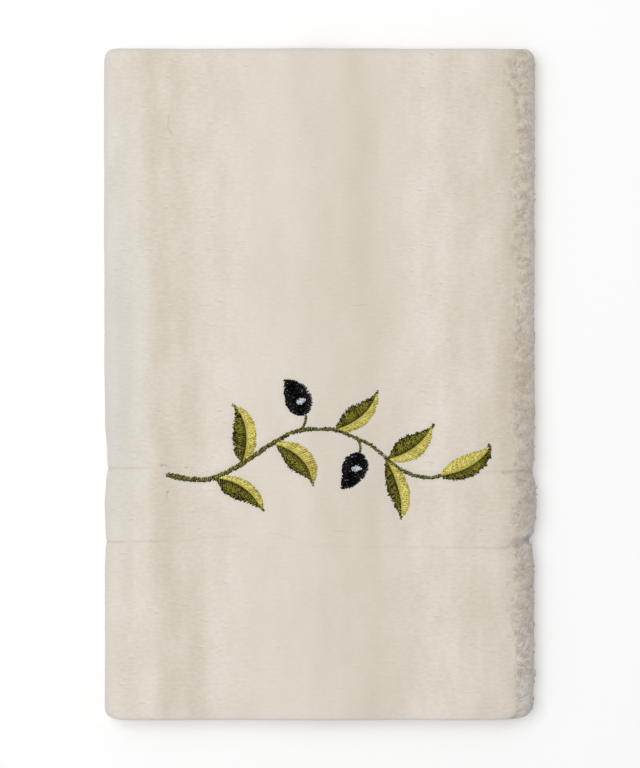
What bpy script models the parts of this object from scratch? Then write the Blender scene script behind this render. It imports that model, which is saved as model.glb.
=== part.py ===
"""A velour hand towel, folded in half along its length and then turned in at both sides.

It lies on its turned-in sides with its face up. X runs across the face, Y from the towel's
loose ends to its fold, and Z up out of the face. The origin is the middle of the underside.
The whole towel is one closed sheet: a flat blank of the cut size is laid out as a grid, and
every point of it is carried through the two folds.
"""

import math

import bmesh
import bpy

MM = 0.001

# The cloth as it was cut and hemmed
CLOTH_WIDTH = 465 * MM
CLOTH_LENGTH = 760 * MM
THICKNESS = 4.0 * MM
LAYER_GAP = 0.8 * MM

# The folded towel
FACE_WIDTH = 248 * MM
BACK_LEG_SHORTER = 3 * MM  # the fold isn't quite at the middle of the length
LEFT_SIDE_LONGER = 2 * MM  # nor are the turned-in sides quite alike

# The folds, worked out from the sizes above
PITCH = THICKNESS + LAYER_GAP
TOP_LAYER = 3 * PITCH + THICKNESS / 2  # height of the middle of the uppermost of the four layers
END_BEND = PITCH / 2  # radius of the fold across the towel
SIDE_BEND = 1.5 * PITCH  # radius of the outer layer's fold at each side
HALF_FLAT = FACE_WIDTH / 2 - SIDE_BEND - THICKNESS / 2
LEG_TOTAL = CLOTH_LENGTH - math.pi * END_BEND
FRONT_LEG = (LEG_TOTAL + BACK_LEG_SHORTER) / 2
FACE_LENGTH = FRONT_LEG + END_BEND + THICKNESS / 2
FOLD_Y = FACE_LENGTH / 2 - END_BEND - THICKNESS / 2
END_Y = -FACE_LENGTH / 2

# How far the outline is drawn in on each side, by height above the loose ends. The two flat
# woven lines, at 101.5 and 143 mm, pinch the sides; the pile swells between them.
OUTLINE = (
    # height, left, right
    (0.0, 1.0, 1.8),
    (40.0, 1.0, 1.4),
    (88.0, 1.1, 1.5),
    (96.0, 1.4, 2.2),
    (101.5, 1.7, 3.1),
    (107.0, 1.3, 1.4),
    (122.0, 0.9, 0.0),
    (135.0, 1.7, 0.5),
    (143.0, 2.7, 2.3),
    (151.0, 2.5, 1.3),
    (170.0, 1.0, 1.2),
    (230.0, 0.6, 1.4),
    (340.0, 0.6, 1.1),
    (376.0, 0.7, 1.2),
    (381.0, 1.3, 2.2),
)
OUTLINE_EASE = 60 * MM  # the drawing in fades out over this much of the face
LEFT_CORNER = 6.0 * MM
RIGHT_CORNER = 9.0 * MM
CORNER_ROWS = (0.0, 0.06, 0.25, 0.58)  # shares of the corner radius

# Soft ridges and troughs of the face, which run along it and lean a little to the left
RELIEF = (
    # across, height
    (-112.0, 0.0),
    (-97.0, 0.8),
    (-65.0, -0.5),
    (-5.0, 0.7),
    (43.0, -0.6),
    (79.0, 0.5),
    (98.0, -0.2),
    (114.0, -2.6),
)
RELIEF_LEAN = 0.03

# How finely the sheet is divided
WING_STEPS = 4
BEND_STEPS = 6
FACE_STEPS = 14
FOLD_STEPS = 6

COTTON_COLOUR = (0.74, 0.68, 0.59, 1.0)  # a warm ivory
COTTON_ROUGHNESS = 0.95


def clear_scene():
    for thing in list(bpy.data.objects):
        bpy.data.objects.remove(thing, do_unlink=True)


def eased(share):
    """0 to 1 with a level start and end."""
    share = min(max(share, 0.0), 1.0)
    return share * share * (3 - 2 * share)


def between(table, at, column):
    """The table's column at a place in its first column, eased from row to row."""
    if at <= table[0][0]:
        return table[0][column]
    for low, high in zip(table, table[1:]):
        if at <= high[0]:
            share = (at - low[0]) / (high[0] - low[0])
            return low[column] + (high[column] - low[column]) * eased(share)
    return table[-1][column]


def rows_along():
    """The blank's rows, from the front leg's end, over the fold, to the back leg's end."""
    corner = [RIGHT_CORNER * share for share in CORNER_ROWS]
    sides = [height * MM for height, _, _ in OUTLINE if RIGHT_CORNER < height * MM < FRONT_LEG - THICKNESS]
    heights = corner + [RIGHT_CORNER] + sides
    inner = [BACK_LEG_SHORTER] + [height for height in heights if height > BACK_LEG_SHORTER]
    front = [("front", height) for height in heights]
    fold = [("fold", step / FOLD_STEPS) for step in range(FOLD_STEPS + 1)]
    back = [("back", height) for height in reversed(inner)]
    return front + fold + back


def columns_across():
    """The blank's columns, from its left selvedge to its right one."""
    left_wing = [(-1, "wing", 1 - step / WING_STEPS) for step in range(WING_STEPS)]
    left_bend = [(-1, "bend", 1 - step / BEND_STEPS) for step in range(BEND_STEPS)]
    face = [(1, "face", 2 * step / FACE_STEPS - 1) for step in range(FACE_STEPS + 1)]
    right_bend = [(1, "bend", (step + 1) / BEND_STEPS) for step in range(BEND_STEPS)]
    right_wing = [(1, "wing", (step + 1) / WING_STEPS) for step in range(WING_STEPS)]
    return left_wing + left_bend + face + right_bend + right_wing


def fold_length(row, offset):
    """The first fold: the point's Y, its layer's depth in the double cloth, and its own depth."""
    part, place = row
    if part == "front":
        return END_Y + place, 0.0, -offset
    if part == "back":
        return END_Y + place, PITCH, PITCH + offset
    angle = math.pi * place
    y = FOLD_Y + (END_BEND + offset) * math.sin(angle)
    layer = END_BEND * (1 - math.cos(angle))
    depth = END_BEND - (END_BEND + offset) * math.cos(angle)
    return y, layer, depth


def fold_sides(column, layer, depth):
    """The second fold: the point's X and Z, from its layer's depth and its own depth."""
    side, part, place = column
    if part == "face":
        return place * HALF_FLAT, TOP_LAYER - depth
    radius = SIDE_BEND - depth
    middle = TOP_LAYER - SIDE_BEND
    if part == "bend":
        angle = math.pi * place
        return side * (HALF_FLAT + radius * math.sin(angle)), middle + radius * math.cos(angle)
    cloth = CLOTH_WIDTH / 2 - side * LEFT_SIDE_LONGER / 2
    wing = cloth - HALF_FLAT - math.pi * (SIDE_BEND - layer)
    return side * (HALF_FLAT - wing * place), middle - radius


def corner_inset(height, radius):
    """How far a rounded corner stands in from the side, at a height above the loose ends."""
    rise = max(radius - height, 0.0)
    return radius - math.sqrt(radius * radius - rise * rise)


def settle(x, y, z):
    """Draw the outline in, and raise or sink the face, less and less towards the underside."""
    height = y - END_Y
    column, corner = (1, LEFT_CORNER) if x < 0 else (2, RIGHT_CORNER)
    inset = between(OUTLINE, height / MM, column) * MM + corner_inset(height, corner)
    share = eased((abs(x) - HALF_FLAT + OUTLINE_EASE) / OUTLINE_EASE)
    across = (x + RELIEF_LEAN * y) / MM
    relief = between(RELIEF, across, 1) * MM * max(z, 0.0) / TOP_LAYER
    return x - math.copysign(inset * share, x), y, z + relief


def point(column, row, offset):
    y, layer, depth = fold_length(row, offset)
    x, z = fold_sides(column, layer, depth)
    return settle(x, y, z)


def sheet_mesh(name):
    """The folded cloth: the grid of its face, the grid of its reverse, and the rim between them."""
    columns = columns_across()
    rows = rows_along()
    mesh = bmesh.new()
    sides = []
    for offset in (THICKNESS / 2, -THICKNESS / 2):
        sides.append([[mesh.verts.new(point(column, row, offset)) for column in columns] for row in rows])
    for grid in sides:
        for near, far in zip(grid, grid[1:]):
            for left in range(len(columns) - 1):
                mesh.faces.new((near[left], near[left + 1], far[left + 1], far[left]))
    outer, inner = sides
    rims = (
        (outer[0], inner[0]),
        (outer[-1], inner[-1]),
        ([row[0] for row in outer], [row[0] for row in inner]),
        ([row[-1] for row in outer], [row[-1] for row in inner]),
    )
    for edge, under in rims:
        for start in range(len(edge) - 1):
            mesh.faces.new((edge[start], edge[start + 1], under[start + 1], under[start]))
    bmesh.ops.recalc_face_normals(mesh, faces=mesh.faces)
    data = bpy.data.meshes.new(name)
    mesh.to_mesh(data)
    mesh.free()
    return data


def cotton():
    material = bpy.data.materials.new("cotton")
    material.use_nodes = True
    shader = material.node_tree.nodes["Principled BSDF"]
    shader.inputs["Base Color"].default_value = COTTON_COLOUR
    shader.inputs["Roughness"].default_value = COTTON_ROUGHNESS
    shader.inputs["Metallic"].default_value = 0.0
    return material


def towel():
    data = sheet_mesh("towel")
    data.materials.append(cotton())
    data.shade_smooth()
    thing = bpy.data.objects.new("towel", data)
    bpy.context.scene.collection.objects.link(thing)
    return thing


clear_scene()
towel()
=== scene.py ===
"""The looks of the folded hand towel: sheared pile, two bare woven lines and a stitched sprig.

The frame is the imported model's: X across the face, Y from the loose ends to the fold, Z up out
of the face, in metres. The cloth is laid out flat as a grid and carried through the same two
folds as the solid that it replaces, with its pile, edges and woven lines added to its thickness.
"""

import math
import random

import bpy
import numpy as np
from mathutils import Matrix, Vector, kdtree, noise


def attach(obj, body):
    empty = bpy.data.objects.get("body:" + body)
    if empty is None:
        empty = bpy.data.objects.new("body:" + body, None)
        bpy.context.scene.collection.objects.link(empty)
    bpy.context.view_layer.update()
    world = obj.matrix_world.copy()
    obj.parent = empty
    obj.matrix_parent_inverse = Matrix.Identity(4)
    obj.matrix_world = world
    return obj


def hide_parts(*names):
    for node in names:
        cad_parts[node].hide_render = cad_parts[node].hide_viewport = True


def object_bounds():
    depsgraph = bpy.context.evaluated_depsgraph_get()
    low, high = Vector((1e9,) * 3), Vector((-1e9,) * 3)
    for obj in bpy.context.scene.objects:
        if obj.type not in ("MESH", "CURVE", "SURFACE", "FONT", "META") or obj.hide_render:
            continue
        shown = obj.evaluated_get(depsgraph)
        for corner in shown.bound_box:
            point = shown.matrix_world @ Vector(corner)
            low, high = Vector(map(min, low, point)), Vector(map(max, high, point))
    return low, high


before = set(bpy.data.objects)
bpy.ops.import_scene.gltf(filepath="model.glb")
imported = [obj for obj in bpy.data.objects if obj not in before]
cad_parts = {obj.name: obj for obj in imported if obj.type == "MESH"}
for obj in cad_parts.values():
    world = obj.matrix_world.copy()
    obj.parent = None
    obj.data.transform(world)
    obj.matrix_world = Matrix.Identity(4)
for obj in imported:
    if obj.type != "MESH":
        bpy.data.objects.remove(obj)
BOX_LOW, BOX_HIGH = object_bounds()

MM = 0.001

# The cloth and its two folds, as in the solid
CLOTH_WIDTH = 465 * MM
CLOTH_LENGTH = 760 * MM
THICKNESS = 4.0 * MM
LAYER_GAP = 0.8 * MM
BACK_LEG_SHORTER = 3 * MM
LEFT_SIDE_LONGER = 2 * MM
FACE_WIDTH = 248 * MM
FACE_LENGTH = BOX_HIGH.y - BOX_LOW.y
PITCH = THICKNESS + LAYER_GAP
TOP_LAYER = 3 * PITCH + THICKNESS / 2
END_BEND = PITCH / 2
SIDE_BEND = 1.5 * PITCH
HALF_FLAT = FACE_WIDTH / 2 - SIDE_BEND - THICKNESS / 2
LEG_TOTAL = CLOTH_LENGTH - math.pi * END_BEND
FRONT_LEG = (LEG_TOTAL + BACK_LEG_SHORTER) / 2
BACK_LEG = (LEG_TOTAL - BACK_LEG_SHORTER) / 2
FOLD_Y = FACE_LENGTH / 2 - END_BEND - THICKNESS / 2
END_Y = -FACE_LENGTH / 2
HALF_FOLD = math.pi * END_BEND / 2

# The outline and the soft ridges of the face, as in the solid (mm)
OUTLINE = (
    # height, left, right
    (0, 1, 1.8),
    (40, 1, 1.4),
    (88, 1.1, 1.5),
    (96, 1.4, 2.2),
    (101.5, 1.7, 3.1),
    (107, 1.3, 1.4),
    (122, 0.9, 0),
    (135, 1.7, 0.5),
    (143, 2.7, 2.3),
    (151, 2.5, 1.3),
    (170, 1, 1.2),
    (230, 0.6, 1.4),
    (340, 0.6, 1.1),
    (376, 0.7, 1.2),
    (381, 1.3, 2.2),
)
OUTLINE_EASE = 60 * MM
LEFT_CORNER = 6.0 * MM
RIGHT_CORNER = 9.0 * MM
RELIEF = (
    # across, height
    (-112, 0),
    (-97, 0.8),
    (-65, -0.5),
    (-5, 0.7),
    (43, -0.6),
    (79, 0.5),
    (98, -0.2),
    (114, -2.6),
)
LEAN = 0.03  # the ridges and the nap lean this much to the left as they run up the face

# The two bare woven lines, and where each wanders up or down the face (mm)
LOWER_LINE = 101.5 * MM
UPPER_LINE = 143.0 * MM
WANDER = (
    # across, lower line, upper line
    (-120, 0, 0),
    (-90, 0.2, 0.3),
    (-58, 2.2, -0.5),
    (-28, 4.2, -1.5),
    (0, -2.6, -2),
    (60, -2.8, -1.8),
    (114, -3.4, -1.8),
    (121.5, 0.3, -2.8),
)
LINE_RISE = (
    # across, how far up the cloth the lower line steps (mm)
    (108.5, 0),
    (112, 3.4),
    (121.5, 0.3),
)
WANDER_REACH = 14 * MM
LINE_BARENESS = (0.1, 1.7)  # least and most share of what the table says
LINES = (
    # across, lower line's depth, its width, its bareness, upper line's depth, its width, its bareness
    (-126, 0.35, 0.9, 0.6, 0.40, 0.9, 0.6),
    (-110, 0.15, 0.5, 1, 0.15, 0.5, 0.9),
    (-92, 0.15, 0.5, 1, 0.12, 0.5, 0.9),
    (-82, 0.08, 0.5, 0.3, 0.06, 0.5, 0.1),
    (56, 0.08, 0.5, 0.3, 0.06, 0.5, 0.1),
    (86, 0.12, 0.5, 0.6, 0.10, 0.5, 0.3),
    (98, 0.15, 0.5, 0.7, 0.35, 0.6, 1.3),
    (107, 0.40, 0.9, 1, 0.55, 0.7, 1.2),
    (109, 0.45, 1, 1, 0.60, 0.8, 1.2),
    (113, 1.30, 2.4, 0.6, 0.60, 0.9, 1),
    (140, 1.30, 2.6, 0.6, 0.60, 0.9, 1),
)

# How dark the face's pile is: partly where the sheared pile leans over, partly painted shade on slopes
# facing away from the light and on the right fold; 0 upright, 1 leaning (mm)
NAP_AND_SHADE = (
    # across, lean and painted shade
    (-113, 0.12),
    (-103, 0.1),
    (-91, 0.65),
    (-83, 0.45),
    (-76, 0.5),
    (-61, 0.05),
    (-18, 0.05),
    (2, 0.35),
    (14, 0.45),
    (25, 0.6),
    (38, 0.35),
    (54, 0.1),
    (70, 0),
    (80, 0.3),
    (93, 0.3),
    (100, 0.4),
    (106, 0.75),
    (112, 1.2),
    (117, 1.75),
    (122, 2.2),
    (132, 1.8),
)
NAP_AND_SHADE_SHIFT = (
    # height, how far the right part of the nap and its painted shade lies further out than that
    (0, 28),
    (25, 26),
    (60, 1.5),
    (85, 0),
    (150, -2),
    (200, -5),
    (240, 3.5),
    (300, 5),
    (340, 4.5),
    (370, 4.5),
)
NAP_AND_SHADE_SHIFT_FROM = 78  # across
NAP_AND_SHADE_SHIFT_EASE = 30

# Where the two side folds are shaded by more than their shape
SHADED = (
    # height, how far the right fold lies in shade, and the left one in cool light
    (0, 1.3, 0),
    (30, 1.2, 0),
    (60, 1, 0.05),
    (150, 1, 0.7),
    (190, 0.2, 1),
    (240, 0, 1),
    (335, 0.2, 0.5),
    (375, 0.2, 0.1),
)
SHADED_FROM = 111 * MM  # from the middle of the face
SHADED_EASE = 5 * MM
SHADED_INSIDE = 0.6  # the share of it short of the rim
COOL_FROM = 93 * MM
COOL_EASE = 20 * MM
DEPTH_SHADE = 2.0  # for each mm that a woven line is deeper than this:
DEPTH_SHADE_FROM = 0.3

# How uneven the cloth is: its heights and the lines' course in mm, the rest as shares
UNEVEN = {
    # how much, size (mm), how many times as long across and along, layer of the noise
    "pile": ((0.20, 30, 1, 1, 1.5), (0.05, 7, 1, 1, 2.5)),
    "parted pile": ((0.20, 6, 1, 1, 3.5), (0.12, 3, 1, 1, 4.5)),
    "nap_and_shade": ((0.09, 12, 1, 3, 5.5), (0.11, 26, 1, 2, 6.5)),
    "parting": ((1.2, 14, 3, 1, 7.5),),
    "line": ((0.35, 5, 1, 1, 8.5),),
    "bareness": ((1.3, 6, 1, 3, 12.5),),
}
NOISE_SPAN = 1.6  # brings the noise to mostly -1 to 1

# The parted pile at the right fold
FLUFF_INSIDE = 1 * MM  # onto the face, before it fades
FLUFF_REACH = 7 * MM
FLUFF_LIMITS = (0.2, 2.4)  # least and most share of that
FLUFF_UNDER = 30 * MM  # along the turned-in side
FLUFF_SHARE = (
    # height, how much of its reach there is
    (0, 0.35),
    (45, 0.35),
    (80, 1),
    (400, 1),
)

# The cloth's edges
RIM_POWER = 1.3
SELVEDGE = 5 * MM
SELVEDGE_SHARE = 0.5  # of the full thickness
SELVEDGE_EASE = 2.5 * MM
SELVEDGE_ROUND = 0.9 * MM
EDGE_BAND = 10 * MM  # of each selvedge, with its own columns
EDGE_STATIONS = (0.0, 2.5, 3.8, 5.0, 7.0, 8.6, 9.1, 9.4, 9.7, 9.92, 10.0)  # mm into that band

# How finely the cloth is divided
FACE_COLUMNS = 152
BEND_COLUMNS = 24
WING_COLUMNS = 8
FOLD_ROWS = 14
FRONT_STEP = 2.2 * MM  # from row to row
MOTIF_STEP = 1.5 * MM
MOTIF_LOW = 112 * MM  # above the loose ends
MOTIF_HIGH = 192 * MM
LINE_STEP = 0.6 * MM
LINE_STEP_REACH = 4.5 * MM
BACK_STEP = 9 * MM
BACK_LINE_STEP = 3.5 * MM
ROUND_STATIONS = (0.0, 0.04, 0.15, 0.35, 0.65)  # of the rounding at a hemmed end

SEED = 11


# -------- small helpers


def eased(share):
    """0 to 1 with a level start and end."""
    share = np.clip(share, 0.0, 1.0)
    return share * share * (3 - 2 * share)


def between(table, at, column):
    """The table's column at places in its first column, eased from row to row."""
    places = np.array([row[0] for row in table])
    values = np.array([row[column] for row in table])
    low = np.clip(np.searchsorted(places, at, side="right") - 1, 0, len(table) - 2)
    share = (at - places[low]) / (places[low + 1] - places[low])
    return values[low] + (values[low + 1] - values[low]) * eased(share)


def dip(distance, width):
    """1 in the middle of a groove, falling to nothing past its width."""
    return np.exp(-((distance / width) ** 2))


def rounded(distance, radius):
    """0 at a rounded edge, rising to 1 a radius in from it."""
    share = np.clip(distance / radius, 0.0, 1.0)
    return np.sqrt(1 - (1 - share) ** 2)


def uneven(what, across, along, later=0):
    """Smooth noise over the flat cloth, as the table says, from its layer or a later one."""
    total = np.zeros(across.shape)
    for amount, size, wide, long, layer in UNEVEN[what]:
        places = zip((across / wide / (size * MM)).ravel(), (along / long / (size * MM)).ravel())
        values = [noise.noise((*place, layer + later)) for place in places]
        total += amount * NOISE_SPAN * np.array(values).reshape(across.shape)
    return total


def turned(length, heading):
    """A step of that length in that direction."""
    return np.array((length * math.cos(heading), length * math.sin(heading)))


def heading_of(step):
    return math.atan2(step[1], step[0])


def link(thing):
    bpy.context.scene.collection.objects.link(thing)
    return thing


def mesh_piece(name, points, faces, material, kept):
    """A mesh object with smooth shading, and named numbers or vectors kept at its points."""
    data = bpy.data.meshes.new(name)
    data.from_pydata(points.tolist(), [], faces)
    for label, values in kept.items():
        values = np.asarray(values, dtype=np.float32)
        kind, part = ("FLOAT", "value") if values.ndim == 1 else ("FLOAT_VECTOR", "vector")
        data.attributes.new(label, kind, "POINT").data.foreach_set(part, values.ravel())
    data.materials.append(material)
    data.shade_smooth()
    data.update()
    return link(bpy.data.objects.new(name, data))


# -------- the cloth


def corner_inset(height, radius):
    """How far a rounded corner stands in from the side, at a height above the loose ends."""
    rise = np.clip(radius - height, 0.0, radius)
    return radius - np.sqrt(radius * radius - rise * rise)


def settled(x, y, z):
    """Draw the outline in, let the woven lines wander, and raise or sink the face."""
    height = y - END_Y
    left = between(OUTLINE, height / MM, 1) * MM + corner_inset(height, LEFT_CORNER)
    right = between(OUTLINE, height / MM, 2) * MM + corner_inset(height, RIGHT_CORNER)
    inset = np.where(x < 0, left, right)
    share = eased((np.abs(x) - HALF_FLAT + OUTLINE_EASE) / OUTLINE_EASE)
    relief = between(RELIEF, (x + LEAN * y) / MM, 1) * MM
    lower = between(WANDER, x / MM, 1) * MM * dip(height - LOWER_LINE, WANDER_REACH)
    upper = between(WANDER, x / MM, 2) * MM * dip(height - UPPER_LINE, WANDER_REACH)
    top = np.maximum(z, 0.0) / TOP_LAYER
    x = x - np.copysign(inset * share, x)
    return x, y + (lower + upper) * top, np.maximum(z + relief * top, 0.0)


def front_step(height):
    """How far it is to the front leg's next row, least at the woven lines."""
    if min(abs(height - LOWER_LINE), abs(height - UPPER_LINE)) < LINE_STEP_REACH:
        return LINE_STEP
    return MOTIF_STEP if MOTIF_LOW < height < MOTIF_HIGH else FRONT_STEP


def back_step(height):
    """The same for the back leg, which is hidden and has fewer rows."""
    near = LOWER_LINE - 4 * BACK_LINE_STEP < height < UPPER_LINE + 4 * BACK_LINE_STEP
    return BACK_LINE_STEP if near or height > BACK_LEG - 2 * BACK_STEP else BACK_STEP


def row_heights(leg, step_at, last_gap):
    """Heights of a leg's rows above its end, with a few more where its hem is rounded."""
    heights = [THICKNESS / 2 * share for share in ROUND_STATIONS]
    height = THICKNESS / 2
    while height < leg - last_gap:
        heights.append(height)
        height += step_at(height)
    return heights


def rows_along():
    """Each row's distance from the middle of the end fold: above 0 on the front leg."""
    front = row_heights(FRONT_LEG, front_step, FRONT_STEP / 2)
    front = [HALF_FOLD + FRONT_LEG - height for height in front]
    fold = list(np.linspace(HALF_FOLD, -HALF_FOLD, FOLD_ROWS + 1))
    back = row_heights(BACK_LEG, back_step, BACK_LINE_STEP / 2)
    back = [height - BACK_LEG - HALF_FOLD for height in reversed(back)]
    return np.array(front + fold + back)


def columns_across():
    """Each column's side, and how far it goes along the face, round the bend and down the wing."""
    face = np.linspace(-HALF_FLAT, HALF_FLAT, FACE_COLUMNS + 1)
    bend = np.linspace(0, math.pi, BEND_COLUMNS + 1)[1:]
    wing = np.linspace(0, 1, WING_COLUMNS + 1)[1:-1]
    edge = np.array(EDGE_STATIONS) * MM
    one_side = [(HALF_FLAT, angle, 0.0, 0.0) for angle in bend]
    one_side += [(HALF_FLAT, math.pi, share, 0.0) for share in wing]
    one_side += [(HALF_FLAT, math.pi, 1.0, lap) for lap in edge]
    left = [(-1.0, *station) for station in reversed(one_side)]
    middle = [(1.0 if place >= 0 else -1.0, abs(place), 0.0, 0.0, 0.0) for place in face]
    right = [(1.0, *station) for station in one_side]
    return np.array(left + middle + right).T


class Blank:
    """The flat cloth as a grid: where each crossing lies, and how far it is from each edge."""

    def __init__(self):
        along = rows_along()[:, None]
        side, flat, angle, share, lap = (row[None, :] for row in columns_across())
        cloth = CLOTH_WIDTH / 2 - side * LEFT_SIDE_LONGER / 2
        leg = np.maximum(np.abs(along) - HALF_FOLD, 0)
        fold_angle = np.clip(math.pi / 2 - along / END_BEND, 0, math.pi)
        bend = SIDE_BEND - END_BEND * (1 - np.cos(fold_angle))
        wing = share * (cloth - HALF_FLAT - math.pi * bend - EDGE_BAND) + lap
        across = side * (flat + bend * angle + wing)
        from_end = np.where(along > 0, FRONT_LEG, BACK_LEG) - leg
        grids = np.broadcast_arrays(side, flat, angle, wing, across, along, leg, fold_angle, from_end)
        self.side, self.flat, self.angle, self.wing, self.across = grids[:5]
        self.along, self.leg, self.fold_angle, self.from_end = grids[5:]
        self.places = (self.across, self.along)
        self.shape = self.across.shape
        self.front = self.along > 0
        self.from_selvedge = cloth - np.abs(across)
        self.full = eased((self.from_selvedge - SELVEDGE) / SELVEDGE_EASE)  # 0 at the thin selvedge

    def folded(self, offset):
        """The points that stand this far out from the middle of the cloth, after both folds."""
        depth = END_BEND - (END_BEND + offset) * np.cos(self.fold_angle)
        y = FOLD_Y + (END_BEND + offset) * np.sin(self.fold_angle) - self.leg
        radius = SIDE_BEND - depth
        x = self.side * (self.flat + radius * np.sin(self.angle) - self.wing)
        z = TOP_LAYER - SIDE_BEND + radius * np.cos(self.angle)
        return np.stack(settled(x, y, z), axis=-1)


def fluffed(blank):
    """1 where the right fold parts the pile, with an uneven edge, and 0 where it lies smooth."""
    ragged = np.clip(1 + uneven("parting", *blank.places), *FLUFF_LIMITS)
    reach = FLUFF_REACH * ragged * between(FLUFF_SHARE, np.minimum(blank.from_end, FRONT_LEG) / MM, 1)
    inside = HALF_FLAT - blank.flat - FLUFF_INSIDE
    at_side = eased(1 - inside / reach) * (1 - eased(blank.wing / FLUFF_UNDER))
    return at_side * (blank.side > 0)


def rims(blank):
    """0 on the flat, rising to 1 where a fold turns the cloth past the towel's outline."""
    at_side = np.sin(np.minimum(blank.angle, math.pi / 2))
    folding = (blank.fold_angle > 0) & (blank.fold_angle < math.pi)
    at_fold = np.cos(blank.fold_angle - math.pi / 2) * folding
    at_end = 1 - np.clip(blank.from_end / (THICKNESS / 2), 0, 1)
    return np.maximum(np.maximum(at_side, at_fold), at_end * blank.front) ** RIM_POWER


def shade_at(height, rim):
    """How far the right fold lies in shade at a height in mm, the more the nearer its rim."""
    return between(SHADED, height, 1) * (SHADED_INSIDE + (1 - SHADED_INSIDE) * rim)


def shaded(blank):
    """How far each point lies in the right fold's shade, and in the left one's cool light."""
    height = np.minimum(blank.from_end, FRONT_LEG) / MM
    shade = shade_at(height, rims(blank)) * eased((blank.flat - SHADED_FROM) / SHADED_EASE)
    cool = between(SHADED, height, 2) * eased((blank.flat - COOL_FROM) / COOL_EASE)
    return shade * (blank.side > 0), cool * (blank.side < 0)


def line_depths(blank):
    """How deep the bare woven lines cut into the pile of the front leg, and how bare they are."""
    depths = np.zeros(blank.shape)
    bare = np.zeros(blank.shape)
    for line, column in ((LOWER_LINE, 1), (UPPER_LINE, 4)):
        depth, width, bareness = (between(LINES, blank.across / MM, column + step) for step in range(3))
        jitter = MM * uneven("line", *blank.places, column)
        rise = between(LINE_RISE, blank.across / MM, 1) * MM * (line == LOWER_LINE)
        groove = dip(blank.from_end - line - rise + jitter, width * MM) * blank.front
        broken = 1 + uneven("bareness", *blank.places, column)
        depths += depth * MM * groove
        bare += bareness * groove * np.clip(broken, *LINE_BARENESS)
    return depths, bare


def half_thickness(blank):
    """The cloth's half thickness, thin at the selvedges and rounded off at every edge."""
    selvedge = SELVEDGE_SHARE + (1 - SELVEDGE_SHARE) * blank.full
    ends = rounded(blank.from_end, THICKNESS / 2)
    return THICKNESS / 2 * selvedge * rounded(blank.from_selvedge, SELVEDGE_ROUND) * ends


def bedding(blank, points, stitches):
    """1 where the stitches press the pile down, fading out a little way from them."""
    tree = kdtree.KDTree(len(stitches))
    for index, place in enumerate(stitches):
        tree.insert((*place, 0.0), index)
    tree.balance()
    low = stitches.min(axis=0) - BED_END
    high = stitches.max(axis=0) + BED_END
    near = blank.front & (blank.angle == 0)
    near &= np.all((points[..., :2] > low) & (points[..., :2] < high), axis=-1)
    pressed = np.zeros(blank.shape)
    for row, column in np.argwhere(near):
        x, y, _ = points[row, column]
        pressed[row, column] = dip(tree.find((x, y, 0.0))[2], BED_REACH)
    return pressed


def pile_heights(blank, fluff, pressed):
    """How far the pile stands above or below its even height."""
    tufts = fluff * uneven("parted pile", *blank.places)
    pile = (uneven("pile", *blank.places) + tufts) * MM
    return pile * (1 - pressed) - BED_DEPTH * pressed


def nap_and_shade_of(blank, points):
    """How far the pile leans over and lies in painted shade, in soft streaks that run along the towel.
    """
    across = np.where(blank.angle == 0, points[..., 0] + LEAN * points[..., 1], blank.across)
    shift = between(NAP_AND_SHADE_SHIFT, (points[..., 1] - END_Y) / MM, 1)
    shift = shift * eased((across / MM - NAP_AND_SHADE_SHIFT_FROM) / NAP_AND_SHADE_SHIFT_EASE)
    return between(NAP_AND_SHADE, across / MM - shift, 1) + uneven("nap_and_shade", across, blank.along)


def quads(index):
    """The faces of a grid of point numbers."""
    corners = np.stack([index[:-1, :-1], index[1:, :-1], index[1:, 1:], index[:-1, 1:]], axis=-1)
    return corners.reshape(-1, 4).tolist()


def every_other(count):
    """Every second row or column of a grid, and always the last."""
    return [*range(0, count - 1, 2), count - 1]


def stops(first, last, on_rim):
    """The places from one corner of a coarse face to the next, or off the rim just the first."""
    step = 1 if first < last else -1
    return range(first, last, step) if on_rim else (first,)


def reverse_faces(numbers, rows, columns):
    """The reverse's faces, two rows by two columns each, that share every point of the rim."""
    last_row, last_column = numbers.shape[0] - 1, numbers.shape[1] - 1
    faces = []
    for top, bottom in zip(rows, rows[1:]):
        for left, right in zip(columns, columns[1:]):
            ring = [(top, place) for place in stops(left, right, top == 0)]
            ring += [(place, right) for place in stops(top, bottom, right == last_column)]
            ring += [(bottom, place) for place in stops(right, left, bottom == last_row)]
            ring += [(place, left) for place in stops(bottom, top, left == 0)]
            faces.append([int(numbers[place]) for place in ring])
    return faces


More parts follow.
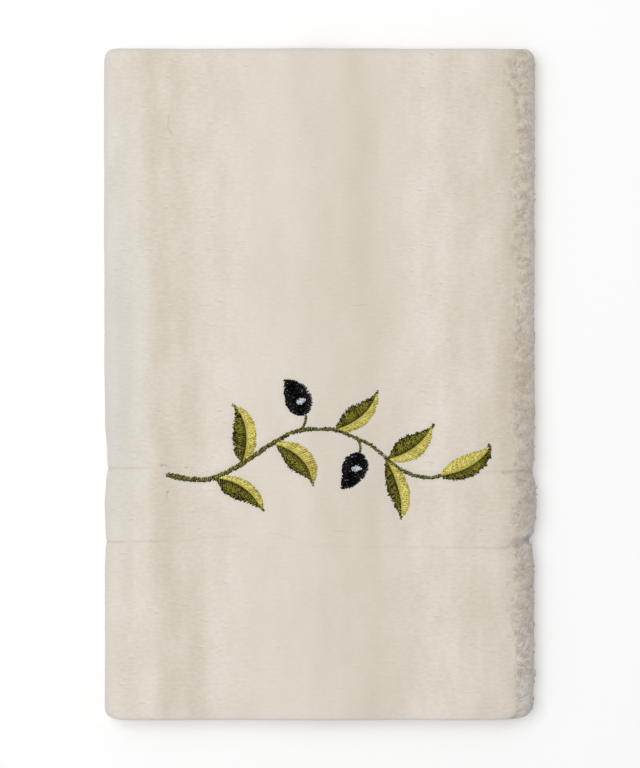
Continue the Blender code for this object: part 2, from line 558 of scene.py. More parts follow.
def towel(stitches):
    """The whole cloth, one closed mesh: its face, its coarser reverse and the rim they share."""
    blank = Blank()
    half = half_thickness(blank)
    smooth = blank.folded(half)
    fluff = fluffed(blank)
    depth, bare = line_depths(blank)
    pressed = bedding(blank, smooth, stitches)
    nap_and_shade = nap_and_shade_of(blank, smooth)
    share = half / (THICKNESS / 2)
    face = blank.folded(half + (pile_heights(blank, fluff, pressed) - depth) * share)
    reverse = blank.folded(-half)

    numbers = np.arange(blank.across.size).reshape(blank.shape)
    rows, columns = every_other(blank.shape[0]), every_other(blank.shape[1])
    inner = np.zeros(blank.shape, dtype=bool)
    inner[np.ix_(rows[1:-1], columns[1:-1])] = True
    under = numbers.copy()
    under[inner] = blank.across.size + np.arange(inner.sum())
    points = np.concatenate([face.reshape(-1, 3), reverse[inner]])
    faces = quads(numbers) + reverse_faces(under, rows, columns)

    shade, cool = shaded(blank)
    shade = shade + DEPTH_SHADE * np.maximum(depth / MM - DEPTH_SHADE_FROM, 0)
    bare = np.maximum(bare, 1 - blank.full)
    none = np.zeros(blank.shape)
    looks = {
        # name: on the face and the rim, on the reverse
        "fluff": (fluff, fluff),
        "bare": (bare, bare),
        "nap_and_shade": (nap_and_shade, nap_and_shade),
        "pressed": (pressed, none),
        "rim": (rims(blank), none),
        "shade": (shade, none),
        "cool": (cool, none),
        "loops": (none, none + 1),
    }
    kept = {name: np.concatenate([over.ravel(), below[inner]]) for name, (over, below) in looks.items()}
    cloth = np.stack([blank.across, blank.along, none], axis=-1)
    kept["cloth"] = np.concatenate([cloth.reshape(-1, 3), cloth[inner]])
    return mesh_piece("towel_cloth", points, faces, cotton_material("cotton"), kept)


# -------- the curled pile at the right fold

CURLS = 640
CURL_REACH = 6 * MM  # onto the face from the start of the bend
CURL_TURN = math.radians(150)  # how far round the bend they go
CURL_CLEAR = 2 * MM  # of the loose ends
CURL_DEPTH = (-0.5, -0.08)  # their middles against the pile's tips, mm
CURL_RADIUS = (0.9, 3.2)  # mm
CURL_OPENING = 0.25  # how much wider they are at their end
CURL_SWEEP = (25, 110)  # degrees
CURL_TILT = (0, 15)
CURL_NAP_AND_SHADE = (-0.5, 0.2)  # how much more they lean and lie in painted shade than the pile around them
CURL_THICKNESS = 0.32 * MM  # radius of the thread in its middle
CURL_ENDS = 0.45  # share of that at its ends
CURL_PARTS = 9
CURL_SIDES = 5
FOLD_RADIUS = SIDE_BEND + THICKNESS / 2


def tube_faces(count, parts, sides):
    """The walls and the two ends of so many tubes, each a row of rings."""
    number = np.arange(count * (parts + 1) * sides).reshape(count, parts + 1, sides)
    after = np.roll(number, -1, axis=2)
    walls = np.stack([number[:, :-1], after[:, :-1], after[:, 1:], number[:, 1:]], axis=-1)
    return walls.reshape(-1, 4).tolist() + number[:, 0, ::-1].tolist() + number[:, -1].tolist()


def curl_roots(chance):
    """How far past the start of the right bend each curl grows, and its place along the towel."""
    girth = FOLD_RADIUS * CURL_TURN
    place = chance.uniform(-CURL_REACH, girth, CURLS)
    thinned = chance.uniform(0, 1, CURLS) > eased(1 + place / CURL_REACH)
    place = np.where(thinned & (place < 0), chance.uniform(0, girth, CURLS), place)
    y = chance.uniform(END_Y + CURL_CLEAR, FOLD_Y, CURLS)
    return np.where(place < 0, place * between(FLUFF_SHARE, (y - END_Y) / MM, 1), place), y


def curl_lines(chance, place, y):
    """Each curl's middle line, the way out from its centre along that line, and its axis."""
    angle = np.maximum(place, 0) / FOLD_RADIUS
    zero = np.zeros(CURLS)
    normal = np.column_stack([np.sin(angle), zero, np.cos(angle)])
    across = np.column_stack([np.cos(angle), zero, -np.sin(angle)])
    along = np.array((0, 1, 0))
    base = np.column_stack([HALF_FLAT + np.minimum(place, 0), y, zero + TOP_LAYER - SIDE_BEND])
    base = base + normal * (FOLD_RADIUS + chance.uniform(*CURL_DEPTH, (CURLS, 1)) * MM)

    heading = chance.uniform(0, 2 * math.pi, (CURLS, 1))
    tilt = np.radians(chance.uniform(*CURL_TILT, (CURLS, 1)))
    first = np.cos(heading) * across + np.sin(heading) * along
    second = np.cos(heading) * along - np.sin(heading) * across
    second = np.cos(tilt) * second + np.sin(tilt) * normal

    share = np.linspace(0, 1, CURL_PARTS + 1)
    sweep = np.radians(chance.uniform(*CURL_SWEEP, (CURLS, 1)))
    turn = chance.uniform(0, 2 * math.pi, (CURLS, 1)) + sweep * share
    outward = np.cos(turn)[..., None] * first[:, None] + np.sin(turn)[..., None] * second[:, None]
    size = chance.uniform(*CURL_RADIUS, (CURLS, 1)) * MM * (1 + CURL_OPENING * share)
    return base[:, None] + outward * size[..., None], outward, np.cross(first, second)


def fold_curls():
    """Curled pile where the right fold opens it: thin tubes, each bent along part of a circle."""
    chance = np.random.default_rng(SEED)
    place, y = curl_roots(chance)
    middle, outward, axis = curl_lines(chance, place, y)
    share = np.linspace(0, 1, CURL_PARTS + 1)
    taper = CURL_THICKNESS * (CURL_ENDS + (1 - CURL_ENDS) * np.sqrt(np.sin(math.pi * share)))
    ring = np.linspace(0, 2 * math.pi, CURL_SIDES + 1)[:-1]
    spoke = np.cos(ring)[:, None] * outward[:, :, None] + np.sin(ring)[:, None] * axis[:, None, None]
    points = middle[:, :, None] + spoke * taper[None, :, None, None]
    points = np.stack(settled(*np.moveaxis(points, -1, 0)), axis=-1).reshape(-1, 3)

    nap_and_shade = between(NAP_AND_SHADE, (HALF_FLAT + place) / MM, 1) + chance.uniform(*CURL_NAP_AND_SHADE, CURLS)
    rim = np.sin(np.clip(place / FOLD_RADIUS, 0, math.pi / 2)) ** RIM_POWER
    looks = {"nap_and_shade": nap_and_shade, "rim": rim, "shade": shade_at((y - END_Y) / MM, rim)}
    kept = {name: np.repeat(values, (CURL_PARTS + 1) * CURL_SIDES) for name, values in looks.items()}
    kept["cloth"] = points
    faces = tube_faces(CURLS, CURL_PARTS, CURL_SIDES)
    return mesh_piece("fold_curls", points, faces, cotton_material("curled_cotton"), kept)


# -------- the sprig

# The stem is a wave: where it crests and dips, from before its start to past its end (mm)
STEM = (
    # across, along
    (-158, -25.6),
    (-68, -54.4),
    (-5, -25.6),
    (4, -25.6),
    (61, -53.2),
    (121, -25.6),
)
STEM_START = -86.5
STEM_END = 69.0
STEM_WIDE = 3.4
STEM_THIN = 2.0
STEM_THINNING = 1.7  # how many times over it would thin in all
SWELL_AT = 30.0  # the stem rises out of its wave here
SWELL = 2.1
SWELL_REACH = 7.5

# Each half of a leaf is widest between its two ends, the nearer that end the smaller its number
LEAVES = (
    # place on the stem, heading, length, bow, its tip end, dark side,
    # dark half's width, base end, tip end, light half's width, base end, tip end
    (-43.9, 101.6, 33.4, -5.7, 0.7, "left", 8.2, 0.65, 1.0, 6.1, 0.6, 0.75),
    (-59.6, -36.0, 33.5, 4.9, 1.0, "right", 9.0, 0.75, 1.3, 4.5, 1.05, 0.8),
    (-27.0, -47.6, 33.0, 6.2, 0.85, "right", 8.7, 1.4, 1.5, 6.4, 0.95, 0.85),
    (8.5, 44.1, 32.6, -5.0, 0.8, "left", 8.3, 0.9, 1.3, 5.1, 0.65, 0.9),
    (38.2, 38.4, 33.1, -4.2, 0.95, "left", 8.6, 0.9, 1.4, 6.1, 0.9, 1.15),
    (37.2, -77.4, 35.5, 3.3, 0.7, "right", 6.2, 1.0, 1.1, 6.2, 0.9, 0.7),
    (68.2, 32.7, 33.9, -4.8, 0.8, "right", 5.4, 0.7, 0.7, 7.9, 0.7, 1.0),
)

OLIVES = (
    # stalk on the stem, stalk's end across, blunt end across, along, heading, length, width, bow
    (-11.8, -8, -10.9, -18, 115, 22.5, 15.6, -2.6),
    (20.8, 22.5, 21.7, -38.8, -115, 22.8, 14.6, 2.2),
)
GLINTS = (
    # across, along, turned in degrees, width, height
    (-10.6, -9.7, 8, 4.9, 5.2),
    (-13, -9.7, 30, 1.1, 1.3),
    (20.6, -48, -6, 6.1, 4.9),
)
OLIVE_ENDS = (0.5, 0.85)  # the lower, the blunter
STALK_WIDE = 1.6
STALK_BOW = 1.2

# The threads
THREAD = 0.68 * MM
THREAD_FLAT = 0.36 * MM
STITCH_STEP = 0.59 * MM
LEAF_HEIGHT = 0.75 * MM
LEAF_LOW = 0.4  # share of that at a leaf's two ends
STEM_HEIGHT = 0.65 * MM
OLIVE_HEIGHT = 0.75 * MM
OLIVE_LOW = 0.6  # share of that at an olive's two ends
UNDERLAY_HEIGHT = 0.45 * MM
UNDERLAY_SHARE = 0.94  # of an olive's width
GLINT_HEIGHT = 1.05 * MM
BED_DEPTH = 0.45 * MM
BED_REACH = 1.5 * MM
BED_END = 4 * BED_REACH  # where the pressed pile has faded out
SLANT = 0.13  # how far a stitch leans along its leaf, as a share of it
STEM_SLANT = math.radians(68)
GLINT_SLANT = math.radians(75)
GLINT_ROUND = (1.4, 0.6)  # powers of its outline
RAGGED = 0.2 * MM  # how unevenly single stitches end
GLINT_RAGGED = 3 * RAGGED
TOOTH = 0.35 * MM  # how unevenly short runs of them end
TOOTH_CHANCE = 0.45
SPIKE = 1.1 * MM  # how far the longest single stitches stand out of an edge
SPIKE_CHANCE = 0.4
GAP = 2.2 * MM  # how far the shortest stitches fall back from the edge
GAP_CHANCE = 0.09
SPIKE_RANGE = (0.3, 1.0)  # shares of the longest spike or the deepest gap
SMALL_SPIKE = 0.6 * SPIKE  # of the stem and the olives
LIGHT_SPIKE = SPIKE / 3  # of a leaf's light half
SPIKES_END = 0.9  # of a leaf's length
LIGHT_END = 0.95  # where its light half stops
OVERLAP = 0.9 * MM  # of a leaf's two halves at the midrib
TAIL = 0.7 * MM  # added to that at the leaf's tip
TAIL_FROM = 0.86  # of a leaf's length
OLIVE_JOINTS = (-0.34, 0.34)  # where an olive's rows break, as shares of half its width
JOINT_SCATTER = 0.2
TWIN_TONE = 0.5  # how much every second stitch is darker
TONE_SCATTER = 0.5
THREAD_SIDES = 6
THREAD_PARTS = 5
THREAD_ENDS = 0.6  # share of a thread's width
SPINE_STEP = 0.01  # of its length, over which a heading is taken
STEM_STEP = 0.5  # mm, likewise


def stem_point(place):
    """The middle of the stem at a place across the face, in metres."""
    swell = SWELL * dip(place - SWELL_AT, SWELL_REACH)
    return np.array((place, float(between(STEM, place, 1) + swell))) * MM


def stem_heading(place):
    return heading_of(stem_point(place + STEM_STEP) - stem_point(place - STEM_STEP))


def lobe(share, near, far):
    """A width along a leaf or an olive: 0 at both ends and 1 at its fullest."""
    fullest = near / (near + far)
    return (share / fullest) ** near * ((1 - share) / (1 - fullest)) ** far


def spine(base, heading, length, bow, tip, share):
    """A point of a bowed line, and its heading. It hooks at its tip if tip is under 1."""
    def point(at):
        aside = turned(bow * lobe(at, 1, tip), heading + math.pi / 2)
        return base + turned(length * at, heading) + aside

    step = point(min(share + SPINE_STEP, 1)) - point(max(share - SPINE_STEP, 0))
    return point(share), heading_of(step)


class Threads:
    """Stitches of one colour, later one mesh: thin flattened tubes that dive at both ends."""

    def __init__(self, seed):
        self.flat = []
        self.lift = []
        self.tones = []
        self.courses = []
        self.middles = []
        self.chance = random.Random(seed)
        self.drift = 0.0
        self.twin = 1

    def ragged(self, amount):
        return self.chance.uniform(-amount, amount)

    def spike(self, amount):
        """How far the next stitch stands out past its neighbours, or falls back: most don't."""
        if self.chance.random() < SPIKE_CHANCE:
            return self.chance.uniform(*SPIKE_RANGE) * amount
        if self.chance.random() < GAP_CHANCE:
            return -self.chance.uniform(*SPIKE_RANGE) * amount * GAP / SPIKE
        return 0.0

    def stitch(self, start, end, height):
        """A stitch from start to end, in metres on the face, that rises to its height between."""
        step = end - start
        run = math.hypot(*step)
        if run < THREAD / 2:
            return
        sideways = np.array((-step[1], step[0])) / run
        if self.chance.random() < TOOTH_CHANCE:
            self.drift = self.ragged(TONE_SCATTER)
        self.twin = -self.twin
        tone = TWIN_TONE * self.twin + self.drift + self.ragged(TONE_SCATTER)
        for part in range(THREAD_PARTS + 1):
            share = part / THREAD_PARTS
            arch = 1 - (2 * share - 1) ** 4
            taper = THREAD_ENDS + (1 - THREAD_ENDS) * min(1.0, 4 * min(share, 1 - share))
            middle = start + step * share
            for side in range(THREAD_SIDES):
                turn = 2 * math.pi * side / THREAD_SIDES
                self.flat.append(middle + sideways * (THREAD / 2 * taper * math.cos(turn)))
                self.lift.append(height * arch - BED_DEPTH + THREAD_FLAT / 2 * (math.sin(turn) - 1))
                self.tones.append(tone)
                self.courses.append((run * share, turn, share))
            self.middles.append(middle)

    def across(self, middle, half, lean, ragged, height):
        """A stitch that reaches as far to both sides of a point, give or take."""
        start = middle - turned(half + self.ragged(ragged), lean)
        self.stitch(start, middle + turned(half + self.ragged(ragged), lean), height)

    def piece(self, name, material):
        flat = np.array(self.flat)
        top = np.full(len(flat), TOP_LAYER + THICKNESS / 2)
        height = settled(flat[:, 0], flat[:, 1], top)[2] + np.array(self.lift)
        points = np.column_stack([flat, height])
        faces = tube_faces(len(self.middles) // (THREAD_PARTS + 1), THREAD_PARTS, THREAD_SIDES)
        kept = {"tone": self.tones, "course": self.courses, "cloth": points}
        return mesh_piece(name, points, faces, material, kept)


def stem(threads):
    """Slanting satin stitches across the stem, wider at its start."""
    place = STEM_START
    while place < STEM_END:
        heading = stem_heading(place)
        share = min(1.0, STEM_THINNING * (place - STEM_START) / (STEM_END - STEM_START))
        half = (STEM_WIDE + (STEM_THIN - STEM_WIDE) * share) / 2 * MM
        lean = heading + STEM_SLANT
        low, high = (half + threads.ragged(RAGGED) + threads.spike(SMALL_SPIKE) for _ in range(2))
        start, end = stem_point(place) - turned(low, lean), stem_point(place) + turned(high, lean)
        threads.stitch(start, end, STEM_HEIGHT)
        place += STITCH_STEP / MM * math.cos(heading)


def leaf(dark, light, row):
    """A leaf's two halves, stitched from its midrib outwards, each in its own thread."""
    place, degrees, length, bow, tip, dark_side = row[:6]
    midrib = (stem_point(place), math.radians(degrees), length * MM, bow * MM, tip)
    count = int(length * MM / STITCH_STEP)
    dark_turn = 1 if dark_side == "left" else -1
    for threads, side, half, near, far in ((dark, dark_turn, *row[6:9]), (light, -dark_turn, *row[9:])):
        spike = SPIKE if threads is dark else LIGHT_SPIKE
        tooth = 0.0
        for number in range(count):
            share = (number + 0.5) / count
            if threads is light and share > LIGHT_END:
                continue
            rib, _ = spine(*midrib, share)
            reach = share + SLANT * 4 * share * (1 - share) * (1 - share)
            beside, heading = spine(*midrib, reach)
            out = beside + turned(half * MM * lobe(reach, near, far), heading + side * math.pi / 2)
            lean = heading_of(out - rib)
            if threads.chance.random() < TOOTH_CHANCE:
                tooth = threads.ragged(TOOTH)
            uneven_end = threads.ragged(RAGGED) + threads.spike(spike if share < SPIKES_END else 0)
            out = out + turned(tooth + uneven_end, lean)
            height = LEAF_HEIGHT * min(1.0, LEAF_LOW + 3 * share * (1 - share))
            tail = float(eased((share - TAIL_FROM) / (1 - TAIL_FROM))) * (threads is dark)
            overlap = OVERLAP + TAIL * tail
            threads.stitch(rib - turned(overlap, lean), out, height)


def olive(threads, row):
    """A filled olive: a row of stitches under it, and over it rows each broken in three."""
    _, _, across, along, degrees, length, width, bow = row
    base = np.array((across, along)) * MM
    count = int(length * MM / STITCH_STEP)
    tooth = [0.0, 0.0]
    for number in range(count):
        share = (number + 0.5) / count
        if threads.chance.random() < TOOTH_CHANCE:
            tooth = [threads.ragged(TOOTH), threads.ragged(TOOTH)]
        middle, heading = spine(base, math.radians(degrees), length * MM, bow * MM, 1, share)
        half = width / 2 * MM * lobe(share, *OLIVE_ENDS)
        aside = heading + math.pi / 2
        spike = SMALL_SPIKE * min(1.0, 5 * share)
        low = tooth[0] - half - threads.spike(spike)
        high = tooth[1] + half + threads.spike(spike)
        start, end = (middle + turned(reach * UNDERLAY_SHARE, aside) for reach in (low, high))
        threads.stitch(start, end, UNDERLAY_HEIGHT)
        joints = [half * (joint + threads.ragged(JOINT_SCATTER)) for joint in OLIVE_JOINTS]
        height = OLIVE_HEIGHT * (OLIVE_LOW + (1 - OLIVE_LOW) * math.sin(math.pi * share))
        for start, end in zip((low, *joints), (*joints, high)):
            start, end = start - THREAD, end + THREAD
            start, end = max(start, low), min(end, high)
            threads.stitch(middle + turned(start, aside), middle + turned(end, aside), height)


def stalk(threads, row):
    """A short curved stalk from the stem to the olive's blunt end."""
    root = stem_point(row[0])
    step = np.array((row[1], row[3])) * MM - root
    heading, length = heading_of(step), math.hypot(*step)
    bow = -math.copysign(STALK_BOW * MM, math.sin(heading))
    count = int(length / STITCH_STEP) + 2
    for number in range(count):
        middle, run = spine(root, heading, length, bow, 1, number / (count - 1))
        threads.across(middle, STALK_WIDE / 2 * MM, run + STEM_SLANT, RAGGED / 2, STEM_HEIGHT)


def glint(threads, row):
    """The small pale patch of light on an olive, of short upright stitches."""
    across, along, degrees, width, height = row
    lie = math.radians(degrees)
    count = round(width * MM / STITCH_STEP)
    flat, full = GLINT_ROUND
    for number in range(count):
        place = (number + 0.5) / count * 2 - 1
        half = height / 2 * MM * (1 - abs(place) ** flat) ** full
        middle = np.array((across, along)) * MM + turned(width / 2 * MM * place, lie)
        threads.across(middle, half, lie + GLINT_SLANT, GLINT_RAGGED, GLINT_HEIGHT)


def sprig():
    """The stitched sprig, a piece for each colour of thread, and where its stitches lie."""
    names = ("stem", "dark_leaf", "light_leaf", "olive", "glint")
    threads = {name: Threads(SEED + number) for number, name in enumerate(names)}
    stem(threads["stem"])
    for row in LEAVES:
        leaf(threads["dark_leaf"], threads["light_leaf"], row)
    for row in OLIVES:
        stalk(threads["stem"], row)
        olive(threads["olive"], row)
    for row in GLINTS:
        glint(threads["glint"], row)
    pieces = []
    for name in names:
        slot = f"{name}_thread"
        made = threads[name].piece(f"{name}_stitches", thread_material(slot, *SHADES[name]))
        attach(made, "root")
        pieces.append(made)
    return pieces, np.concatenate([np.array(threads[name].middles) for name in names])


# -------- materials

UPRIGHT_PILE = (0.775, 0.712, 0.622)
# the leaning pile's tint, which also holds the painted shade of the slopes and of the right fold
LEANING_AND_SHADED_PILE = (0.675, 0.600, 0.500)
BARE_WEAVE = (0.60, 0.54, 0.45)
# painted shade and painted highlight on the two sides of each short mark
MARK_SHADE = (0.60, 0.53, 0.43)
MARK_HIGHLIGHT = (0.90, 0.86, 0.78)
RIM_SHADE_AND_SHEEN = (0.665, 0.635, 0.600)  # painted shade and painted cool sheen where a fold turns the cloth away
CURL_SHADE = (0.44, 0.39, 0.33)
# painted light on the lit sides of the opened pile's clumps
LIT_CLUMP = (0.80, 0.76, 0.71)
PRESSED_PILE = (0.72, 0.68, 0.61)
SHADED_PILE = (0.37, 0.345, 0.35)
COOL_PILE = (0.56, 0.66, 0.68)
SHEEN = (0.92, 0.96, 1.0)

# The pile's patterns, all as noise: how many to a metre across, along and through the cloth
BLOTCHES = (75.0, 30.0, 1.0)
BLOTCH_LEAN = 0.26
MOTTLE = (280.0, 560.0, 1.0)
MOTTLE_LEAN = 0.2
MARKS = (200.0, 470.0, 1.0)  # short and thin, they lie across the towel
MARK_SHIFT = 0.2  # of a mark, between its lit side and its shaded one
MARK_AREAS = 55.0
CONTOURS = 120.0
CONTOUR_LINES = 57.0  # the curls are the lines of a height map
CURLED_AREAS = ((120.0, 120.0, 1.0), (9.0, 4.0, 2.0))  # and how far they are moved
CLUMPS = ((225.0, 225.0, 1.0), (2.0, 7.0, 5.0))
FIBRES = 1500.0
FIBRE_BUMP = (0.2 * MM, 0.3)  # depth and strength
PILE_BUMP = (0.4 * MM, 1.0)
CALM_MIDDLE = (0.028, 0.065, 0.4, 1.0)  # metres off the middle, and how strong the patterns are there

# The noise from where a pattern is absent to where it is full
NOISE_RANGE = (0.3, 0.7)
MARK_RANGE = (0.58, 0.75)
MARK_AREA_RANGE = (0.36, 0.58, 0.15, 1.0)  # and how strong the marks are there
CURLED_RANGE = (0.34, 0.6)

# The small creases of the face (mm)
CREASE_SHADE = (0.42, 0.36, 0.28)
CREASE_WOBBLE = 1.6 * MM
CREASE_WOBBLES = 260.0
CREASE_EDGE = (1.2, 0.3)  # from none to full, as shares of its half size

CREASES = (
    # across, height above the loose ends, heading in degrees, length, width, strength
    (-86.4, 340, 84, 8.5, 1.7, 0.25),
    (-87.7, 335.9, 20, 4.5, 1.4, 0.20),
    (-85.2, 334.2, -58, 6, 1.7, 0.25),
    (-89.6, 144.9, -14, 6.5, 1, 0.45),
    (-92, 144.8, 60, 2.4, 1.8, 0.55),
    (-87.4, 130.1, 0, 2.4, 1.1, 0.45),
    (-89, 140, 0, 2.2, 1.6, 0.45),
    (-87.6, 127.9, 88, 6.5, 1, 0.35),
    (-76.8, 143.8, 4, 2.6, 1, 0.45),
    (22.5, 236, 3, 12, 0.8, 0.20),
    (10.4, 109.8, -4, 8.5, 0.8, 0.22),
    (106, 142.6, -58, 3.2, 1.2, 0.40),
    # a broad painted shade by the upper line's notch at the right fold
    (118, 144, 4, 9, 4, 0.36),
)

SHADES = {
    # dark thread, pale thread, painted shade beside the midrib, painted shade added as a tone at the
    # outer edge, gloss, share of painted highlight flecks
    "stem": ((0.004, 0.003, 0.0), (0.290, 0.280, 0.060), (0.02, 0.02, 0.002), 0.0, 0.08, 0.0),
    "dark_leaf": ((0.006, 0.005, 0.0), (0.310, 0.283, 0.038), (0.032, 0.024, 0.001), -1.1, 0.06, 0.0),
    "light_leaf": ((0.34, 0.27, 0.035), (0.92, 0.83, 0.25), (0.50, 0.42, 0.10), -0.2, 0.1, 0.0),
    "olive": ((0.0, 0.0, 0.0), (0.015, 0.014, 0.016), (0.001, 0.001, 0.001), 0.0, 0.02, 0.6),
    "glint": ((0.30, 0.32, 0.36), (0.76, 0.79, 0.87), (0.50, 0.52, 0.58), 0.0, 0.2, 0.0),
}
# painted highlights: pale specks where light glints off the olive's threads
FLECK_HIGHLIGHT = (0.30, 0.30, 0.31)
FLECKS = 1000.0  # to a metre
FLECK_RANGE = (0.72, 0.77)
TONES = 1300.0
TONE_SPREAD = (-1.3, 1.1)
TONE_RANGE = (-1.6, 1.6)  # from the dark thread to the pale one
EDGE_SHADE = (0.45, 1.0)  # where the painted shade at a stitch's outer end comes in, as shares of a stitch
RIB_SHADE = (0.0, 0.5, 0.9, 0.0)  # and the painted shade at a stitch's start, beside the midrib, with how strong it is
TWISTS = 9000.0  # of a thread's strands, in radians to a metre
TWIST_BUMP = (0.04 * MM, 0.5)


class Nodes:
    """A few short ways to add nodes to one material."""

    def __init__(self, name):
        self.material = bpy.data.materials.new(name)
        self.material.use_nodes = True
        self.tree = self.material.node_tree

    def feed(self, sockets, values):
        """Give each socket a constant, a colour or a node's output. None leaves it as it is."""
        for place, value in values.items():
            socket = sockets[place]
            if isinstance(value, (int, float)):
                socket.default_value = value
            elif isinstance(value, tuple):
                socket.default_value = value if socket.type == "VECTOR" else (*value, 1.0)
            elif value is not None:
                self.tree.links.new(value, socket)

    def surface(self, values):
        self.feed(self.tree.nodes["Principled BSDF"].inputs, values)
        return self.material

    def added(self, kind, output, values, **settings):
        """A new node's output, with its inputs fed and its settings made."""
        node = self.tree.nodes.new(kind)
        for key, value in settings.items():
            setattr(node, key, value)
        self.feed(node.inputs, values)
        return node.outputs[output]

    def attribute(self, name, output="Fac"):
        return self.added("ShaderNodeAttribute", output, {}, attribute_name=name)

    def axis(self, vector, name):
        return self.added("ShaderNodeSeparateXYZ", name, {0: vector})

    def vector(self, operation, output, *values):
        return self.added("ShaderNodeVectorMath", output, dict(enumerate(values)), operation=operation)

    def placed(self, vector, scale, shift=(0.0, 0.0, 0.0)):
        """A vector scaled along each axis and then moved."""
        return self.vector("MULTIPLY_ADD", "Vector", vector, scale, shift)

    def noise(self, vector, scale, detail=2.0, output="Fac"):
        values = {"Vector": vector, "Scale": scale, "Detail": detail}
        return self.added("ShaderNodeTexNoise", output, values)

    def ranged(self, value, low, high, to_low=0.0, to_high=1.0):
        names = ("Value", "From Min", "From Max", "To Min", "To Max")
        values = dict(zip(names, (value, low, high, to_low, to_high)))
        return self.added("ShaderNodeMapRange", "Result", values, interpolation_type="SMOOTHSTEP")

    def maths(self, operation, first, second=0.0):
        return self.added("ShaderNodeMath", 0, {0: first, 1: second}, operation=operation)

    def times(self, first, second):
        return self.maths("MULTIPLY", first, second)

    def mixed(self, share, first, second, clamped=True):
        colours = {0: share, 6: first, 7: second}
        return self.added("ShaderNodeMix", 2, colours, data_type="RGBA", clamp_factor=clamped)

    def bump(self, height, distance, strength, normal=None):
        values = {"Height": height, "Distance": distance, "Strength": strength, "Normal": normal}
        return self.added("ShaderNodeBump", "Normal", values)

    def creases(self, cloth):
        """0 to 1 along the small creases of the face, each a short line that wobbles a little."""
        wobble = self.noise(cloth, CREASE_WOBBLES, output="Color")
        shaken = self.placed(wobble, (CREASE_WOBBLE,) * 3, (-CREASE_WOBBLE / 2,) * 3)
        near = self.vector("ADD", "Vector", cloth, shaken)
        depth = 0.0
        for across, height, degrees, length, width, strength in CREASES:
            place = {
                "Vector": near,
                "Location": (across * MM, HALF_FOLD + FRONT_LEG - height * MM, 0.0),
                "Rotation": (0.0, 0.0, -math.radians(degrees)),
                "Scale": (length / 2 * MM, width / 2 * MM, 1.0),
            }
            here = self.added("ShaderNodeMapping", "Vector", place, vector_type="TEXTURE")
            size = self.vector("LENGTH", "Value", here)
            depth = self.maths("ADD", self.ranged(size, *CREASE_EDGE, 0.0, strength), depth)
        return depth


def pile_lean_and_shade(made, cloth, off_middle):
    """How far the pile leans and lies in painted shade, with its blotches and mottling."""
    nap_and_shade = made.attribute("nap_and_shade")
    for scale, detail, most in ((BLOTCHES, 4.0, BLOTCH_LEAN), (MOTTLE, 2.0, MOTTLE_LEAN)):
        pattern = made.noise(made.placed(cloth, scale), 1.0, detail)
        pattern = made.ranged(pattern, *NOISE_RANGE, -most, most)
        nap_and_shade = made.maths("ADD", nap_and_shade, made.times(pattern, off_middle))
    return nap_and_shade


def pile_marks(made, cloth, off_middle):
    """The short marks in the pile, from -1 on their painted shaded side to 1 on their painted lit side,
    and the raised side alone.
    """
    here = made.times(made.ranged(made.noise(cloth, MARK_AREAS), *MARK_AREA_RANGE), off_middle)
    sides = []
    for shift in (MARK_SHIFT, -MARK_SHIFT):
        marks = made.noise(made.placed(cloth, MARKS, (0.0, shift, 0.0)), 1.0)
        sides.append(made.times(made.ranged(marks, *MARK_RANGE), here))
    return made.maths("SUBTRACT", *sides), sides[0]


def opened_pile(made, cloth):
    """The curls and the clumps of the pile where a fold parts it, and on the reverse; they give bumps
    and painted shade and light.
    """
    contours = made.times(made.noise(cloth, CONTOURS, 1.0), CONTOUR_LINES)
    areas = made.noise(made.placed(cloth, *CURLED_AREAS), 1.0)
    clumps = made.noise(made.placed(cloth, *CLUMPS), 1.0)
    opened = made.maths("MAXIMUM", made.attribute("fluff"), made.attribute("loops"))
    curled = made.times(made.ranged(areas, *CURLED_RANGE), opened)
    curls = made.times(made.maths("SINE", contours), curled)
    return curls, made.times(made.ranged(clumps, *NOISE_RANGE, -1.0, 1.0), opened)


def cotton_material(name):
    """Sheared ivory pile: nap streaks, short crosswise marks, and curls where a fold opens it."""
    made = Nodes(name)
    cloth = made.attribute("cloth", "Vector")
    off_middle = made.ranged(made.maths("ABSOLUTE", made.axis(cloth, "X")), *CALM_MIDDLE)
    marks, raised = pile_marks(made, cloth, off_middle)
    curls, clumps = opened_pile(made, cloth)
    creased = made.creases(cloth)
    tints = (
        # what drives the tint, how strongly, its colour, whether it stops at the full tint
        # the nap: leaning pile and painted shade
        (pile_lean_and_shade(made, cloth, off_middle), 1.0, LEANING_AND_SHADED_PILE, False),
        # painted highlight and painted shade of the marks
        (marks, 0.40, MARK_HIGHLIGHT, True),
        (marks, -0.55, MARK_SHADE, True),
        # painted shade and painted light on the clumps
        (clumps, 0.52, CURL_SHADE, True),
        (clumps, -0.36, LIT_CLUMP, True),
        (curls, 0.33, CURL_SHADE, True),
        # painted shade and cool sheen at the rims, painted shade in the right fold and deep woven
        # lines, painted cool light on the left fold
        (made.attribute("rim"), 0.75, RIM_SHADE_AND_SHEEN, True),
        (made.attribute("shade"), 0.32, SHADED_PILE, True),
        (made.attribute("cool"), 0.2, COOL_PILE, True),
        (made.attribute("bare"), 0.6, BARE_WEAVE, False),
        (made.attribute("pressed"), 0.6, PRESSED_PILE, True),
        (creased, 1.0, CREASE_SHADE, True),
    )
    colour = UPRIGHT_PILE
    for driver, strength, tint, clamped in tints:
        colour = made.mixed(made.times(driver, strength), colour, tint, clamped)

    relief = made.times(raised, 0.3)
    for dent, depth in ((curls, 0.4), (clumps, 0.8), (creased, 1.0)):
        relief = made.maths("SUBTRACT", relief, made.times(dent, depth))
    fibres = made.bump(made.noise(cloth, FIBRES), *FIBRE_BUMP)
    return made.surface({
        "Base Color": colour,
        "Roughness": 0.92,
        "Specular IOR Level": 0.15,
        "Sheen Weight": 0.12,
        "Sheen Roughness": 0.5,
        "Sheen Tint": SHEEN,
        "Normal": made.bump(relief, *PILE_BUMP, fibres),
    })


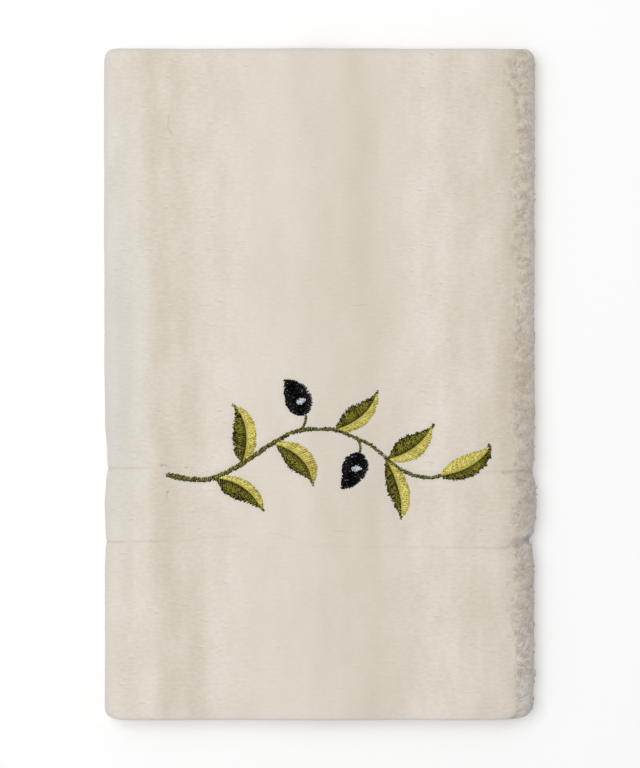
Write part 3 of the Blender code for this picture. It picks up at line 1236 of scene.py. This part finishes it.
def thread_material(name, dark, pale, rib_shade, edge_shade, gloss, highlight_share):
    """Embroidery thread: each stitch lighter or darker, with painted shade where it dives at the midrib
    and at its outer end, and painted highlight flecks on the olives.
    """
    made = Nodes(name)
    course, cloth = made.attribute("course", "Vector"), made.attribute("cloth", "Vector")
    share = made.axis(course, "Z")
    uneven_dye = made.ranged(made.noise(cloth, TONES, 1.0), *NOISE_RANGE, *TONE_SPREAD)
    tone = made.maths("ADD", made.attribute("tone"), uneven_dye)
    # painted shade towards each stitch's outer end
    tone = made.maths("ADD", tone, made.ranged(share, *EDGE_SHADE, 0.0, edge_shade))
    colour = made.mixed(made.ranged(tone, *TONE_RANGE), dark, pale)
    # painted shade at each stitch's start, beside the midrib on the leaves
    colour = made.mixed(made.ranged(share, *RIB_SHADE), colour, rib_shade)
    # painted highlight flecks
    if highlight_share:
        highlight_flecks = made.noise(cloth, FLECKS, 0.0)
        colour = made.mixed(made.ranged(highlight_flecks, *FLECK_RANGE, 0.0, highlight_share), colour, FLECK_HIGHLIGHT)
    turns = made.times(made.axis(course, "X"), TWISTS)
    twist = made.maths("SINE", made.maths("ADD", turns, made.axis(course, "Y")))
    return made.surface({
        "Base Color": colour,
        "Roughness": 0.5,
        "Specular IOR Level": gloss,
        "Normal": made.bump(twist, *TWIST_BUMP),
    })


FLOOR_WHITE = (0.97, 0.97, 0.97)
FLOOR_GLOW = 0.08  # painted glow: the floor gives off a little light of its own, like a table lit from below


def floor_material():
    return Nodes("floor").surface({
        "Base Color": FLOOR_WHITE,
        "Emission Color": (1.0, 1.0, 1.0),
        "Emission Strength": FLOOR_GLOW,
        "Roughness": 1.0,
        "Specular IOR Level": 0.0,
    })


# -------- the stage

LENS = 100.0  # mm, over a film 36 mm high
FILM = 36.0
PHOTO_HEIGHT = 768
TOWEL_IN_PHOTO = 671.5  # pixels of the photograph, from the loose ends to the fold
SIGHT_HEIGHT = 15 * MM  # where the outline lies, above the floor
FLOOR = 6.0
WINDOW_PLACE = (-0.62, 0.28, 1.8)  # in metres
WINDOW_SIZE = 1.6
WINDOW_POWER = 19.0
ROOM_LIGHT = 0.55


def camera():
    view = FACE_LENGTH * PHOTO_HEIGHT / TOWEL_IN_PHOTO
    data = bpy.data.cameras.new("camera")
    data.lens = LENS
    data.sensor_width = FILM
    thing = link(bpy.data.objects.new("camera", data))
    thing.location = (0.0, 0.0, SIGHT_HEIGHT + view * LENS / FILM)
    bpy.context.scene.camera = thing


def window():
    """One large soft light, up to the left of the towel."""
    data = bpy.data.lights.new("window", "AREA")
    data.shape = "SQUARE"
    data.size = WINDOW_SIZE
    data.energy = WINDOW_POWER
    thing = link(bpy.data.objects.new("window", data))
    thing.location = WINDOW_PLACE
    thing.rotation_euler = (-Vector(WINDOW_PLACE)).to_track_quat("-Z", "Y").to_euler()


def room():
    """Even light from all round."""
    world = bpy.data.worlds.new("room")
    world.use_nodes = True
    light = world.node_tree.nodes["Background"].inputs
    light["Color"].default_value = (1.0, 1.0, 1.0, 1.0)
    light["Strength"].default_value = ROOM_LIGHT
    bpy.context.scene.world = world


def stage():
    corners = ((-1, -1, 0), (1, -1, 0), (1, 1, 0), (-1, 1, 0))
    floor = mesh_piece("floor", np.array(corners) * FLOOR / 2, [(0, 1, 2, 3)], floor_material(), {})
    bpy.context.scene.view_settings.view_transform = "Standard"


camera()
window()
room()
stage()
stitch_pieces, stitch_places = sprig()
cloth = towel(stitch_places)
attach(cloth, "root")
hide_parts("towel")
curls = fold_curls()
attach(curls, "root")
